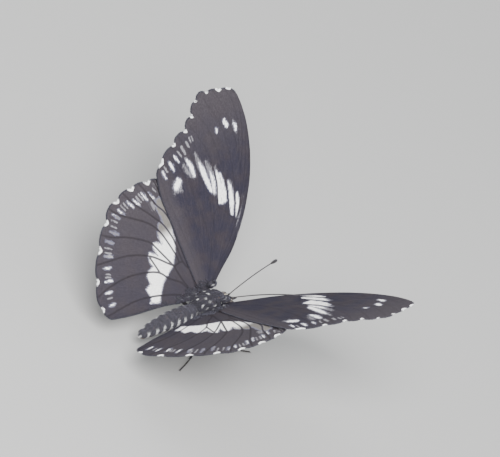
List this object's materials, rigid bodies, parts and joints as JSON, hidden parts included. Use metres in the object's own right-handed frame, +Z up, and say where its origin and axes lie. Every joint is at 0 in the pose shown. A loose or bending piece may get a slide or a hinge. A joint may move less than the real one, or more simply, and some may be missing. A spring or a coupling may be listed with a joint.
{
  "type": "butterfly",
  "caption": "Dark butterfly with broken white bands, standing on its legs with its scalloped wings raised in a wide V.",
  "frame": {"origin": "on the floor under the middle of the butterfly's width and length", "axes": "+Z up from the floor, -Y the way the head looks, +X towards the butterfly's left wings"},
  "size_m": [0.0712, 0.0562, 0.0395],
  "materials": {
    "body_scales": "black-brown hair and scales",
    "wing_scales": "black-brown scales with off-white bands and spots",
    "eye": "dark brown, glossy",
    "horn": "black-brown horn with a soft sheen"
  },
  "bodies": {
    "root": {"head": "body_scales", "prothorax": "body_scales", "mesothorax": "body_scales", "metathorax": "body_scales", "abdomen": "body_scales", "tegula_left": "body_scales", "tegula_right": "body_scales", "palp_left": "body_scales", "palp_right": "body_scales", "foreleg_left": "body_scales", "foreleg_right": "body_scales", "eye_left": "eye", "eye_right": "eye", "proboscis": "horn", "antenna_left": "horn", "antenna_right": "horn", "midleg_left": "horn", "midleg_right": "horn", "hindleg_left": "horn", "hindleg_right": "horn", "forewing_left": "wing_scales", "forewing_right": "wing_scales", "hindwing_left": "wing_scales", "hindwing_right": "wing_scales"}
  },
  "joints": []
}
